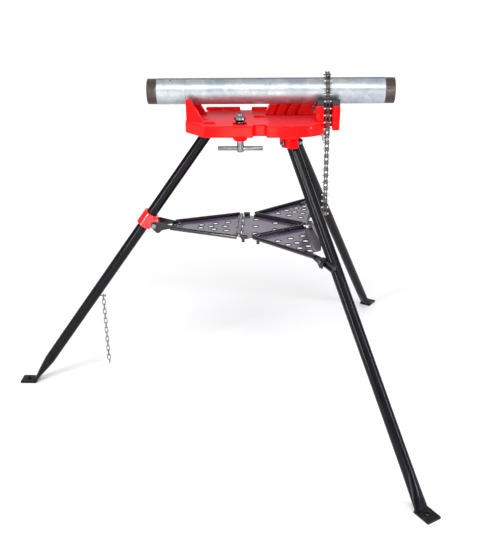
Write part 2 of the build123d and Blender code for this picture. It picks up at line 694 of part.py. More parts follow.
with BuildPart() as tray_middle:
    with BuildSketch(level(TRAY_Z - SHEET)):
        with BuildLine():
            Polyline((MID_HINGE_X + HINGE_EDGE, -half_width), (edge_end_x, -half_width), (edge_start_x, 0),
                     (edge_end_x, half_width), (MID_HINGE_X + HINGE_EDGE, half_width), close=True)
        make_face()
        with Locations((-25, 0), (-25, 68), (-25, -68), (35, 32), (35, -32), (90, 0)):
            Circle(TRAY_HOLE_D / 2, mode=Mode.SUBTRACT)
    extrude(amount=SHEET)
    add([middle_tabs, middle_lip])
    add([slant_tabs, mirror(slant_tabs, about=Plane.XZ, mode=Mode.PRIVATE)])
    add([slant_lip, mirror(slant_lip, about=Plane.XZ, mode=Mode.PRIVATE)])
    add([middle_rail, mirror(middle_rail, about=Plane.XZ, mode=Mode.PRIVATE)])
    with BuildSketch(level(TRAY_Z - SHEET)):
        with Locations((-59, 105), (-59, -105)):
            Circle(STUB_D / 2)
    extrude(amount=-STUB_LENGTH)
finish(tray_middle, "tray_middle")

with BuildPart() as hinge_pin_rear:
    with BuildSketch(Plane(origin=rear_hinge.from_local_coords((-102, 0, 0)), z_dir=rear_hinge.x_dir)):
        Circle(HINGE_PIN_D / 2)
    extrude(amount=204)
finish(hinge_pin_rear, "hinge_pin_rear")

with BuildPart() as hinge_pin_right:
    with BuildSketch(Plane(origin=slant_hinge.from_local_coords((22, 0, 0)), z_dir=slant_hinge.x_dir)):
        Circle(HINGE_PIN_D / 2)
    extrude(amount=172)
finish(hinge_pin_right, "hinge_pin_right")
finish(mirrored(hinge_pin_right), "hinge_pin_left")


# ---- tray: rear leaf and its fork ---------------------------------------------------------
REAR_LEAF_END = -284.0
REAR_LEAF_NARROW = 31.0
leaf_start_x = MID_HINGE_X - HINGE_EDGE
rear_tabs = hinge_half(rear_hinge, rear_knuckles[1::2], 1, RUNNING)
RAIL_START_X = REAR_LEAF_END + 10
rail_taper = (half_width - REAR_LEAF_NARROW) / (leaf_start_x - REAR_LEAF_END)
rail_start_y = REAR_LEAF_NARROW + (RAIL_START_X - REAR_LEAF_END) * rail_taper
rear_rail = rail((COLUMN_X + leaf_start_x, -half_width), (COLUMN_X + RAIL_START_X, -rail_start_y))
rear_holes = [(-118, 0), (-162, 0), (-112, 40), (-112, -40), (-150, 28), (-150, -28), (-192, 14), (-192, -14)]

with BuildPart() as tray_rear:
    with BuildSketch(level(TRAY_Z - SHEET)):
        with BuildLine():
            Polyline((leaf_start_x, -half_width), (REAR_LEAF_END, -REAR_LEAF_NARROW),
                     (REAR_LEAF_END, REAR_LEAF_NARROW), (leaf_start_x, half_width), close=True)
        make_face()
        with Locations(*rear_holes):
            Circle(TRAY_HOLE_D / 2, mode=Mode.SUBTRACT)
    extrude(amount=SHEET)
    add([rear_tabs, lip(rear_hinge, -103, 103, 1)])
    add([rear_rail, mirror(rear_rail, about=Plane.XZ, mode=Mode.PRIVATE)])
finish(tray_rear, "tray_rear")


PIN_R = 4.0
FORK_TAIL = -250.0
fork_outer = FORK_INNER + FORK_CHEEK
FORK_TIP_X = REAR_PIN_X + 20

with BuildPart() as tray_fork:
    for y in (-FORK_INNER, fork_outer):
        with BuildSketch(facing_right(y)) as cheek:
            with BuildLine():
                Polyline((REAR_PIN_X - 10, REAR_PIN_Z - 5), (REAR_PIN_X - 10, REAR_PIN_Z + 5),
                         (REAR_PIN_X - 3, REAR_PIN_Z + 12), (REAR_PIN_X + 12, REAR_PIN_Z + 11),
                         (FORK_TAIL, TRAY_Z + 4), (FORK_TAIL, TRAY_Z), (REAR_LEAF_END - 4, TRAY_Z),
                         (REAR_PIN_X + 24, REAR_PIN_Z - 14), (REAR_PIN_X + 13, REAR_PIN_Z - 23),
                         (REAR_PIN_X + 6, REAR_PIN_Z - 23), (REAR_PIN_X - 4, REAR_PIN_Z - 12), close=True)
            make_face()
            fillet([corner for corner in cheek.vertices() if corner.X < FORK_TIP_X], radius=2.5)
            with Locations((REAR_PIN_X, REAR_PIN_Z)):
                Circle(PIN_R + RUNNING, mode=Mode.SUBTRACT)
        extrude(amount=FORK_CHEEK)
    with BuildSketch(level(TRAY_Z)):
        with Locations(((REAR_LEAF_END + 2 + FORK_TAIL) / 2, 0)):
            Rectangle(FORK_TAIL - REAR_LEAF_END - 2, 2 * fork_outer)
    extrude(amount=3)
finish(tray_fork, "tray_fork")

with BuildPart() as fork_bolts:
    for side in (-1, 1):
        seat = Plane(origin=(COLUMN_X + REAR_PIN_X, side * fork_outer, REAR_PIN_Z), z_dir=(0, side, 0))
        add(screw_with_head(seat, 2 * PIN_R, FORK_CHEEK, 15, 5.5))
finish(fork_bolts, "fork_bolts")

with BuildPart() as fork_rivets:
    with BuildSketch(level(TRAY_Z + 3)):
        with Locations((-272, 0), (-260, 14), (-260, -14)):
            Circle(4.5)
    extrude(amount=3)
    chamfer(fork_rivets.edges().group_by(Axis.Z)[-1], 1.2)
finish(fork_rivets, "fork_rivets")


# ---- tray: wings --------------------------------------------------------------------------
LUG_OUT = TUBE_R + 5.0     # outer face of the slotted plate on the leg
EAR_IN = LUG_OUT + GAP     # the ear stands beside it
EAR_THICKNESS = 3.2
ear_u = column_u + EAR_IN
pin_v = WING_PIN_R - apex_distance
RAIL_END_V = pin_v - 19
LEG_ROOM_V = 190.0         # the sheet stops here in front of the leg
BOLT_ROOM_V = 207.5        # beyond this the sheet leaves the ear's bolt free to reach
wing_tabs = hinge_half(slant_hinge, slant_knuckles[1::2], 1, RUNNING)
rail_foot = (slant_edge_u - 4, HINGE_EDGE + 1)
rail_tip = (ear_u + EAR_THICKNESS + RAIL_D / 2 + 0.6, RAIL_END_V)
rail_share = (BOLT_ROOM_V - rail_foot[1]) / (rail_tip[1] - rail_foot[1])
sheet_tip = (rail_foot[0] + rail_share * (rail_tip[0] - rail_foot[0]), BOLT_ROOM_V)
wing_level = wing_plane(0)


def wing_point(point):
    """Plan position of a point given along and out from the slanting hinge."""
    place = wing_level.from_local_coords((point[0], point[1], 0))
    return (place.X, place.Y)


wing_rail = rail(wing_point(rail_foot), wing_point(rail_tip))
front_edge = [(9, HINGE_EDGE), (column_u - 22, LEG_ROOM_V)]
hole_rows = [(62, 110, 43, 3), (103, 115, 30, 3), (143, 118, 30, 2), (176, 121, 0, 1)]
wing_holes = [(centre + (n - (count - 1) / 2) * step, v) for v, centre, step, count in hole_rows
              for n in range(count)]

with BuildPart() as tray_wing_right:
    with BuildSketch(wing_plane(TRAY_Z - SHEET)):
        with BuildLine():
            Polyline(front_edge[0], (rail_foot[0], HINGE_EDGE), sheet_tip,
                     (ear_u + EAR_THICKNESS, BOLT_ROOM_V), (ear_u + EAR_THICKNESS, LEG_ROOM_V + 4),
                     (column_u - 6, LEG_ROOM_V), front_edge[1], close=True)
        make_face()
        with Locations(*wing_holes):
            Circle(TRAY_HOLE_D / 2, mode=Mode.SUBTRACT)
    extrude(amount=SHEET)
    add([wing_tabs, lip(slant_hinge, 18, 198, 1)])
    add(wing_rail)
    with BuildSketch(wing_plane(TRAY_Z - SHEET)):
        with Locations((195, 20)):
            Circle(STUB_D / 2)
    extrude(amount=-STUB_LENGTH)
finish(tray_wing_right, "tray_wing_right")
finish(mirrored(tray_wing_right), "tray_wing_left")

FLANGE_HEIGHT = 24.0
with BuildPart() as wing_flange_right:
    with BuildSketch(wing_plane(TRAY_Z)):
        with BuildLine() as edge_line:
            Line((13, 14), (column_u - 23, LEG_ROOM_V - 2))
        trace(edge_line.line, line_width=2.4)
    extrude(amount=FLANGE_HEIGHT)
    with BuildSketch(wing_plane(TRAY_Z + FLANGE_HEIGHT)):
        with BuildLine() as lip_line:
            Line((9, 16), (column_u - 27, LEG_ROOM_V))
        trace(lip_line.line, line_width=10)
    extrude(amount=-2)
finish(wing_flange_right, "wing_flange_right")
finish(mirrored(wing_flange_right), "wing_flange_left")

EAR_TIP_R = WING_PIN_R - 20
with BuildPart() as wing_ear_right:
    with BuildSketch(radial(-SPLAY, EAR_IN)) as ear_shape:
        with BuildLine():
            Polyline((WING_PIN_R - 76, TRAY_Z), (WING_PIN_R - 76, TRAY_Z + 6),
                     (WING_PIN_R - 14, TRAY_Z + 8.5), (WING_PIN_R + 8, TRAY_Z + 7.5),
                     (WING_PIN_R + 14, TRAY_Z - 1), (WING_PIN_R + 6, TRAY_Z - 23),
                     (WING_PIN_R - 5, TRAY_Z - 23), (WING_PIN_R - 17, TRAY_Z - 12),
                     (WING_PIN_R - 58, TRAY_Z - 3), (WING_PIN_R - 58, TRAY_Z), close=True)
        make_face()
        fillet([corner for corner in ear_shape.vertices() if corner.X > EAR_TIP_R], radius=3)
        with Locations((WING_PIN_R, WING_PIN_Z)):
            Circle(PIN_R + RUNNING, mode=Mode.SUBTRACT)
    extrude(amount=EAR_THICKNESS)
finish(wing_ear_right, "wing_ear_right")
finish(mirrored(wing_ear_right), "wing_ear_left")

wing_path = leg_path(FRONT_PIVOT_R, FRONT_PIVOT_Z, WING_PIN_R, WING_PIN_Z, apex_distance,
                     radians(FRONT_TILT), WING_TURN)
slot_runs = [(r - WING_PIN_R, z - WING_PIN_Z) for r, z in wing_path]
slot_run = max(slot_runs, key=lambda run: hypot(*run))
LUG_SLOT = 2 * (PIN_R + 1.3)
LUG_WALL = 5.0
LUG_DEPTH = 9.0
lug_length = hypot(*slot_run) + 1
lug_turn = degrees(atan2(slot_run[1], slot_run[0]))

with BuildPart() as wing_lug_right:
    with BuildSketch(radial(-SPLAY, LUG_OUT)):
        with Locations((WING_PIN_R + slot_run[0] / 2, WING_PIN_Z + slot_run[1] / 2)):
            SlotCenterToCenter(lug_length, LUG_SLOT + 2 * LUG_WALL, rotation=lug_turn)
    extrude(amount=-LUG_DEPTH)
    with BuildSketch(radial(-SPLAY, LUG_OUT)):
        with Locations((WING_PIN_R + slot_run[0] / 2, WING_PIN_Z + slot_run[1] / 2)):
            SlotCenterToCenter(lug_length, LUG_SLOT, rotation=lug_turn)
    extrude(amount=-(LUG_OUT - TUBE_R), mode=Mode.SUBTRACT)
    with BuildSketch(Plane(origin=radial(-SPLAY).from_local_coords((FRONT_PIVOT_R, FRONT_PIVOT_Z, 0)),
                           z_dir=Vector(radial(-SPLAY).x_dir) * sin(radians(FRONT_TILT))
                           + Vector(0, 0, -cos(radians(FRONT_TILT))))):
        Circle(TUBE_R)
    extrude(amount=600, mode=Mode.SUBTRACT)
finish(wing_lug_right, "wing_lug_right")
finish(mirrored(wing_lug_right), "wing_lug_left")

with BuildPart() as wing_bolt_right:
    face = radial(-SPLAY, EAR_IN + EAR_THICKNESS)
    pin_end = face.from_local_coords((WING_PIN_R, WING_PIN_Z, 0))
    seat = Plane(origin=pin_end, x_dir=face.x_dir, z_dir=face.z_dir)
    add(screw_with_head(seat, 2 * PIN_R, EAR_IN + EAR_THICKNESS - TUBE_R - 0.5, 13, 5))
finish(wing_bolt_right, "wing_bolt_right")
finish(mirrored(wing_bolt_right), "wing_bolt_left")


# ---- ceiling-brace screw ------------------------------------------------------------------
BRACE_TOP = 905.0
BRACE_FOOT = 797.0
BRACE_BAR_Z = 807.0
BRACE_BAR_D = 12.0
BRACE_BAR_LENGTH = 127.0
NECK_Z = 881.0
SPINDLE_D = 12.0

with BuildPart() as brace_cap:
    with BuildSketch(Plane(origin=(COLUMN_X + BRACE_X, BRACE_Y, 0), x_dir=(1, 0, 0), z_dir=(0, -1, 0))):
        with BuildLine():
            Polyline((SPINDLE_D / 2 + RUNNING, NECK_Z + GAP), (12, NECK_Z + GAP), (16, NECK_Z + 7),
                     (16, NECK_Z + 13), (13, NECK_Z + 17), (9.5, NECK_Z + 18), (9.5, BRACE_TOP - 2),
                     (7.5, BRACE_TOP), (0, BRACE_TOP), (0, NECK_Z + 16 + GAP),
                     (SPINDLE_D / 2 + RUNNING, NECK_Z + 16 + GAP), close=True)
        make_face()
    revolve(axis=Axis((COLUMN_X + BRACE_X, BRACE_Y, 0), (0, 0, 1)))
finish(brace_cap, "brace_cap")

with BuildPart() as brace_screw:
    with BuildSketch(level(BRACE_FOOT, BRACE_X, BRACE_Y)):
        Circle(BRACE_D / 2)
    extrude(amount=NECK_Z - BRACE_FOOT)
    chamfer(brace_screw.edges().group_by(Axis.Z)[0], 1.5)
    with BuildSketch(level(NECK_Z, BRACE_X, BRACE_Y)):
        Circle(SPINDLE_D / 2)
    extrude(amount=16)
    with BuildSketch(facing_front(BRACE_X, BRACE_Y, BRACE_BAR_Z)):
        Circle(BRACE_BAR_D / 2 + RUNNING)
    extrude(amount=30, both=True, mode=Mode.SUBTRACT)
finish(brace_screw, "brace_screw")

with BuildPart() as brace_bar:
    with BuildSketch(facing_front(BRACE_X - BRACE_BAR_LENGTH / 2, BRACE_Y, BRACE_BAR_Z)):
        Circle(BRACE_BAR_D / 2)
    extrude(amount=BRACE_BAR_LENGTH)
    chamfer(brace_bar.edges().filter_by(GeomType.CIRCLE), 1.2)
finish(brace_bar, "brace_bar")


# ---- chain --------------------------------------------------------------------------------
WRAP_R = 46.05             # pins round the pipe
WRAP_SIDE_PINS = 4         # pins each side of the top one
RUN_PINS = 3
pin_step = 2 * asin(CHAIN_PITCH / 2 / WRAP_R)
run_lean = radians(CHAIN_RUN_LEAN)


def wrap_points():
    """Pins over the pipe from the chain screw at the back to the horns in front (y, z)."""
    side = [(WRAP_R * sin(n * pin_step), PIPE_Z + WRAP_R * cos(n * pin_step))
            for n in range(1, WRAP_SIDE_PINS + 1)]
    last_y, last_z = side[-1]
    side += [(last_y + n * CHAIN_PITCH * sin(run_lean), last_z - n * CHAIN_PITCH * cos(run_lean))
             for n in range(1, RUN_PINS + 1)]
    front = [(-y, z) for y, z in side]
    return list(reversed(side)) + [(0, PIPE_Z + WRAP_R)] + front


wrap_pins = wrap_points()
tail_top = wrap_pins[-1]
tail_pins = [(tail_top[0], tail_top[1] - n * CHAIN_PITCH) for n in range(TAIL_LINKS + 1)]


def link_plates(points, offsets, first):
    """Chain plates on every other link, at the given distances either side of the middle."""
    with BuildPart() as plates:
        for n in range(first, len(points) - 1, 2):
            (y0, z0), (y1, z1) = points[n], points[n + 1]
            turn = degrees(atan2(z1 - z0, y1 - y0))
            for offset_x, thickness in offsets:
                with BuildSketch(facing_front(CHAIN_X + offset_x - thickness / 2)):
                    with Locations(Location(((y0 + y1) / 2, (z0 + z1) / 2, 0), (0, 0, turn))):
                        SlotCenterToCenter(CHAIN_PITCH, CHAIN_PLATE_H)
                    with Locations((y0, z0), (y1, z1)):
                        Circle(CHAIN_PIN_D / 2 + 0.02, mode=Mode.SUBTRACT)
                extrude(amount=thickness)
    return plates


def link_pins(points, length):
    """Riveted pins of a run of chain."""
    with BuildPart() as pins:
        with BuildSketch(facing_front(CHAIN_X - length / 2)):
            with Locations(*points):
                Circle(CHAIN_PIN_D / 2)
        extrude(amount=length)
    return pins


PLATE_T = 2.0
outer_offsets = [(side * 4.9, PLATE_T) for side in (-1, 1)]
inner_offsets = [(side * 2.7, PLATE_T) for side in (-1, 1)]
finish(link_plates(wrap_pins, outer_offsets, 0), "chain_wrap_outer")
finish(link_plates(wrap_pins, inner_offsets, 1), "chain_wrap_inner")
finish(link_pins(wrap_pins, CHAIN_PIN_LENGTH), "chain_wrap_pins")
finish(link_plates(tail_pins, outer_offsets, 0), "chain_tail_outer")
finish(link_plates(tail_pins, inner_offsets, 1), "chain_tail_inner")
finish(link_pins(tail_pins[1:], CHAIN_PIN_LENGTH), "chain_tail_pins")

screw_y, screw_eye_z = wrap_pins[0]
SCREW_D = 14.0
SCREW_BOTTOM = 796.0
NUT_TOP = 837.0
NUT_HEIGHT = 26.0
ARM_D = 11.0
ARM_REACH = 62.0
ARM_Z = NUT_TOP - 17

with BuildPart() as chain_screw:
    with BuildSketch(facing_front(CHAIN_X - 1.6)):
        with Locations((screw_y, screw_eye_z)):
            Circle(8.5)
        with Locations((screw_y, screw_eye_z - 8)):
            Rectangle(14, 12)
        with Locations((screw_y, screw_eye_z)):
            Circle(CHAIN_PIN_D / 2 + 0.02, mode=Mode.SUBTRACT)
    extrude(amount=3.2)
    with BuildSketch(level(screw_eye_z - 12, CHAIN_X, screw_y)):
        Circle(SCREW_D / 2)
    extrude(amount=-(screw_eye_z - 12 - SCREW_BOTTOM))
finish(chain_screw, "chain_screw")

with BuildPart() as handle_nut:
    with BuildSketch(level(NUT_TOP, CHAIN_X, screw_y)):
        Circle(17)
    extrude(amount=-NUT_HEIGHT)
    chamfer(handle_nut.edges().filter_by(GeomType.CIRCLE), 2)
    with BuildSketch(facing_right(screw_y, CHAIN_X, ARM_Z)):
        Circle(ARM_D / 2)
    extrude(amount=ARM_REACH, both=True)
    chamfer(handle_nut.edges().group_by(Axis.Y)[0] + handle_nut.edges().group_by(Axis.Y)[-1], 1.5)
    with BuildSketch(level(NUT_TOP, CHAIN_X, screw_y)):
        Circle(SCREW_D / 2 + RUNNING)
    extrude(amount=-NUT_HEIGHT, mode=Mode.SUBTRACT)
finish(handle_nut, "handle_nut")


# ---- storage chain on the rear leg --------------------------------------------------------
HANG_Z = 318.0
hang_r = REAR_PIVOT_R + (REAR_PIVOT_Z - HANG_Z) * rear_lean
LINK_WIRE = 3.0
LINK_INSIDE = 17.0
LINK_GAP = 6.0
LINKS = 14
hang_x = -(hang_r - TUBE_R / cos(radians(REAR_TILT)) - 5.0)


def chain_link(x, z, upright):
    """One oval link of round wire."""
    straight = LINK_INSIDE - LINK_GAP
    half = LINK_GAP / 2 + LINK_WIRE / 2
    plane = facing_right(0, x, z) if upright else facing_front(x, 0, z)
    with BuildPart() as link:
        with BuildLine(plane) as loop:
            Line((-half, -straight / 2), (-half, straight / 2))
            ThreePointArc((-half, straight / 2), (0, straight / 2 + half), (half, straight / 2))
            Line((half, straight / 2), (half, -straight / 2))
            ThreePointArc((half, -straight / 2), (0, -straight / 2 - half), (-half, -straight / 2))
        with BuildSketch(Plane(origin=plane.from_local_coords((-half, -straight / 2, 0)), z_dir=plane.y_dir)):
            Circle(LINK_WIRE / 2)
        sweep(path=loop.wire())
    return link.part


link_step = LINK_INSIDE - 0.4
first_link_z = HANG_Z - 12
with BuildPart() as storage_chain:
    for n in range(LINKS):
        add(chain_link(hang_x, first_link_z - n * link_step, n % 2 == 1))
finish(storage_chain, "storage_chain")

STUD_R = 2.0
stud_z = first_link_z + LINK_INSIDE / 2 - STUD_R - GAP
with BuildPart() as storage_stud:
    with BuildSketch(facing_front(hang_x - 14, 0, stud_z)):
        Circle(STUD_R)
    extrude(amount=21)
    with BuildSketch(facing_front(hang_x + 5, 0, stud_z)):
        Circle(4.5)
    extrude(amount=2.5)
    with BuildSketch(Plane(origin=(COLUMN_X - REAR_PIVOT_R, 0, REAR_PIVOT_Z), z_dir=leg_axis)):
        Circle(TUBE_R)
    extrude(amount=900, mode=Mode.SUBTRACT)
finish(storage_stud, "storage_stud")

last_link_z = first_link_z - (LINKS - 1) * link_step
HOOK_R = 5.0
with BuildPart() as storage_hook:
    with BuildLine(facing_front(hang_x, 0, last_link_z - LINK_INSIDE / 2 - LINK_WIRE)) as hook_line:
        Line((0, 0), (0, -8))
        ThreePointArc((0, -8), (HOOK_R, -8 - HOOK_R), (2 * HOOK_R, -8))
        Line((2 * HOOK_R, -8), (2 * HOOK_R, -3))
    with BuildSketch(level(last_link_z - LINK_INSIDE / 2 - LINK_WIRE, hang_x)):
        Circle(LINK_WIRE / 2)
    sweep(path=hook_line.wire())
finish(storage_hook, "storage_hook")


# ---- pipe ---------------------------------------------------------------------------------
THREAD_PITCH = 3.175
THREAD_DEPTH = 1.2
with BuildPart() as pipe:
    with BuildSketch(facing_right(0)):
        with BuildLine():
            thread = []
            turns = int(THREAD_LENGTH / THREAD_PITCH)
            for n in range(turns):
                root = PIPE_Z + PIPE_R - THREAD_DEPTH
                thread.append((n * THREAD_PITCH + 0.6, root + THREAD_DEPTH - 0.3))
                thread.append((n * THREAD_PITCH + THREAD_PITCH / 2 + 0.6, root))
            back = [(PIPE_BACK + x, z) for x, z in thread]
            front = [(PIPE_FRONT - x, z) for x, z in reversed(thread)]
            Polyline((PIPE_BACK, PIPE_Z + PIPE_R - PIPE_WALL), (PIPE_BACK, PIPE_Z + PIPE_R - 1.4), *back,
                     (PIPE_BACK + THREAD_LENGTH, PIPE_Z + PIPE_R),
                     (PIPE_FRONT - THREAD_LENGTH, PIPE_Z + PIPE_R), *front,
                     (PIPE_FRONT, PIPE_Z + PIPE_R - 1.4), (PIPE_FRONT, PIPE_Z + PIPE_R - PIPE_WALL),
                     close=True)
        make_face()
    revolve(axis=Axis((COLUMN_X, 0, PIPE_Z), (1, 0, 0)))
finish(pipe, "pipe")
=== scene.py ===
import json
import math

import bmesh
import bpy
from mathutils import Matrix, Vector


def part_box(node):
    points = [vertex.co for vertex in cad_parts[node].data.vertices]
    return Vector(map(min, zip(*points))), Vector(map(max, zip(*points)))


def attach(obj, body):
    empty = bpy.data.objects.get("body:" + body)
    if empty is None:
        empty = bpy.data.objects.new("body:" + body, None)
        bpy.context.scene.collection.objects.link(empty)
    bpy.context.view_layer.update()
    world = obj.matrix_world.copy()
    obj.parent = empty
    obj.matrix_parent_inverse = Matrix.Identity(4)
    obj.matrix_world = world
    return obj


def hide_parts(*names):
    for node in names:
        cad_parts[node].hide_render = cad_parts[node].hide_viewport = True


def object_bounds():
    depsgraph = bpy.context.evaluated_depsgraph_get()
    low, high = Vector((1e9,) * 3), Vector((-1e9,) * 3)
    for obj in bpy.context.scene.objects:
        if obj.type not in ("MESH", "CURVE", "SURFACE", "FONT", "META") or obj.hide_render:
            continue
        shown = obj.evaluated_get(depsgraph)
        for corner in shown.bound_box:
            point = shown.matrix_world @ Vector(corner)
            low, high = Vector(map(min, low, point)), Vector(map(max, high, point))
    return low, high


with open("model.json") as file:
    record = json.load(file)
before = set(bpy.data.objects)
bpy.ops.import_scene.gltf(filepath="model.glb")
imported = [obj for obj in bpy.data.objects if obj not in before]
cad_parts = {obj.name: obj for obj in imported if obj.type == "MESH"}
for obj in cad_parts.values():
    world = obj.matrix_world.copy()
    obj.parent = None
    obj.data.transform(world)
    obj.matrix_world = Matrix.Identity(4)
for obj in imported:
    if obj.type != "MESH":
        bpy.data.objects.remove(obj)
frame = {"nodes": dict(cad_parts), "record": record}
cad_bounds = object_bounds()
NODES = frame["nodes"]
BODIES = frame["record"]["behaviour"]["bodies"]
BODY_OF = {node: body for body, members in BODIES.items() for node in members}
SLOT_OF = {part["node"]: part["material_slot"] for part in frame["record"]["subparts"]}

# ---- places read from the frame -----------------------------------------------------------
BRACE_BEHIND_COLUMN = 0.0635    # the brace screw stands this far behind the column's axis
ground = cad_bounds[0].z
pipe_lo, pipe_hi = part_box("pipe")
screw_lo, screw_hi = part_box("brace_screw")
BRACE = (screw_lo + screw_hi) / 2
COLUMN_X = BRACE.x + BRACE_BEHIND_COLUMN


# ---- camera -------------------------------------------------------------------------------
CAMERA_FROM_COLUMN = Vector((0.035248, -2.13666, 1.25351))
CAMERA_ANGLES = (22.118, -2.248, -0.6445)    # pitch down, yaw and roll in degrees
CAMERA_LENS = 48.146


def place_camera():
    """Camera a little above the head, looking down on the near side of the stand."""
    spot = Vector((COLUMN_X, 0, 0)) + CAMERA_FROM_COLUMN
    pitch, yaw, roll = (math.radians(a) for a in CAMERA_ANGLES)
    ahead = Vector((math.sin(yaw) * math.cos(pitch), math.cos(yaw) * math.cos(pitch), -math.sin(pitch)))
    level = Vector((math.cos(yaw), -math.sin(yaw), 0))
    above = level.cross(ahead)
    right = math.cos(roll) * level + math.sin(roll) * above
    up = -math.sin(roll) * level + math.cos(roll) * above
    camera_data = bpy.data.cameras.new("camera")
    camera_data.lens = CAMERA_LENS
    camera_data.sensor_width = 36.0
    camera_data.clip_start = 0.05
    camera_data.clip_end = 60
    camera = bpy.data.objects.new("camera", camera_data)
    bpy.context.scene.collection.objects.link(camera)
    turn = Matrix((right, up, -ahead)).transposed().to_4x4()
    camera.matrix_world = Matrix.Translation(spot) @ turn
    bpy.context.scene.camera = camera


place_camera()


# ---- studio -------------------------------------------------------------------------------
def softbox(name, spot, target, size, power, colour=(1, 1, 1)):
    light = bpy.data.lights.new(name, "AREA")
    light.shape = "RECTANGLE"
    light.size, light.size_y = size
    light.energy = power
    light.color = colour
    lamp = bpy.data.objects.new(name, light)
    bpy.context.scene.collection.objects.link(lamp)
    lamp.location = spot
    lamp.rotation_mode = "QUATERNION"
    lamp.rotation_quaternion = (Vector(target) - Vector(spot)).to_track_quat("-Z", "Y")
    return lamp


# How the world brightens: axis of the view direction, where it starts, where it ends, and to what.
# Behind the object, overhead, and in a low band round the horizon.
WORLD_DIM = 0.10
WORLD_RAMPS = (("Y", 0.60, 0.88, 1.06), ("Z", 0.30, 0.66, 0.82), ("Z", 0.26, 0.14, 0.85))
FLOOR_DROP = 0.0004
FLOOR_SIZE = 40


def light_world():
    """World that is dim in front of the object, so dark paint stays dark, and pale elsewhere."""
    scene = bpy.context.scene
    scene.view_settings.view_transform = "Standard"
    scene.view_settings.look = "None"
    world = bpy.data.worlds.new("studio")
    scene.world = world
    world.use_nodes = True
    tree = world.node_tree
    back = tree.nodes["Background"]
    coordinate = tree.nodes.new("ShaderNodeTexCoord")
    split = tree.nodes.new("ShaderNodeSeparateXYZ")
    tree.links.new(coordinate.outputs["Generated"], split.inputs[0])
    brightest = None
    for side, start, end, bright in WORLD_RAMPS:
        ramp = tree.nodes.new("ShaderNodeMapRange")
        ramp.interpolation_type = "SMOOTHSTEP"
        ramp.inputs["From Min"].default_value = start
        ramp.inputs["From Max"].default_value = end
        ramp.inputs["To Min"].default_value = WORLD_DIM
        ramp.inputs["To Max"].default_value = bright
        tree.links.new(split.outputs[side], ramp.inputs["Value"])
        if brightest is None:
            brightest = ramp.outputs["Result"]
            continue
        larger = tree.nodes.new("ShaderNodeMath")
        larger.operation = "MAXIMUM"
        tree.links.new(brightest, larger.inputs[0])
        tree.links.new(ramp.outputs["Result"], larger.inputs[1])
        brightest = larger.outputs[0]
    tree.links.new(brightest, back.inputs["Strength"])
    back.inputs["Color"].default_value = (1.0, 1.0, 1.0, 1)


def light_lamps():
    """Area lamps: one overhead, a strip on each side, a front panel and a warm card low in front."""
    softbox("overhead", (0.1, -2.1, 2.9), (0.1, 0, 0.6), (2.2, 0.9), 46)
    softbox("left_strip", (-2.2, -2.3, 1.5), (0, 0, 0.7), (0.22, 2.2), 62)
    softbox("right_strip", (2.5, -1.4, 1.3), (0, 0, 0.6), (0.14, 2.0), 48, (0.84, 0.87, 1.0))
    softbox("front_panel", (0.2, -3.4, 0.9), (0, 0, 0.85), (1.6, 0.5), 12)
    softbox("rim_card", (0.01, -2.4, 0.41), (0.12, -0.13, 0.86), (0.42, 0.17), 3.2, (1.0, 0.72, 0.52))


def lay_floor():
    """Plain pale paper that glows a little far from the object, where it has to be white."""
    bpy.ops.mesh.primitive_plane_add(size=FLOOR_SIZE, location=(0, 0, ground - FLOOR_DROP))
    floor = bpy.context.object
    floor.name = "floor"
    paper = bpy.data.materials.new("floor_paper")
    paper.use_nodes = True
    tree = paper.node_tree
    shader = tree.nodes["Principled BSDF"]
    shader.inputs["Roughness"].default_value = 0.9
    noise = tree.nodes.new("ShaderNodeTexNoise")
    noise.inputs["Scale"].default_value = 90
    shade = tree.nodes.new("ShaderNodeMapRange")
    shade.inputs["To Min"].default_value = 0.915
    shade.inputs["To Max"].default_value = 0.935
    where = tree.nodes.new("ShaderNodeTexCoord")
    tree.links.new(where.outputs["Object"], noise.inputs["Vector"])
    tree.links.new(noise.outputs["Fac"], shade.inputs["Value"])
    tree.links.new(shade.outputs["Result"], shader.inputs["Base Color"])
    away = tree.nodes.new("ShaderNodeVectorMath")
    away.operation = "LENGTH"
    tree.links.new(where.outputs["Object"], away.inputs[0])
    glow = tree.nodes.new("ShaderNodeMapRange")
    glow.inputs["From Min"].default_value = 0.9
    glow.inputs["From Max"].default_value = 3.6
    glow.inputs["To Min"].default_value = 0.0
    glow.inputs["To Max"].default_value = 0.40
    tree.links.new(away.outputs["Value"], glow.inputs["Value"])
    tree.links.new(glow.outputs["Result"], shader.inputs["Emission Strength"])
    shader.inputs["Emission Color"].default_value = (1, 1, 1, 1)
    floor.data.materials.append(paper)


light_world()
light_lamps()
lay_floor()


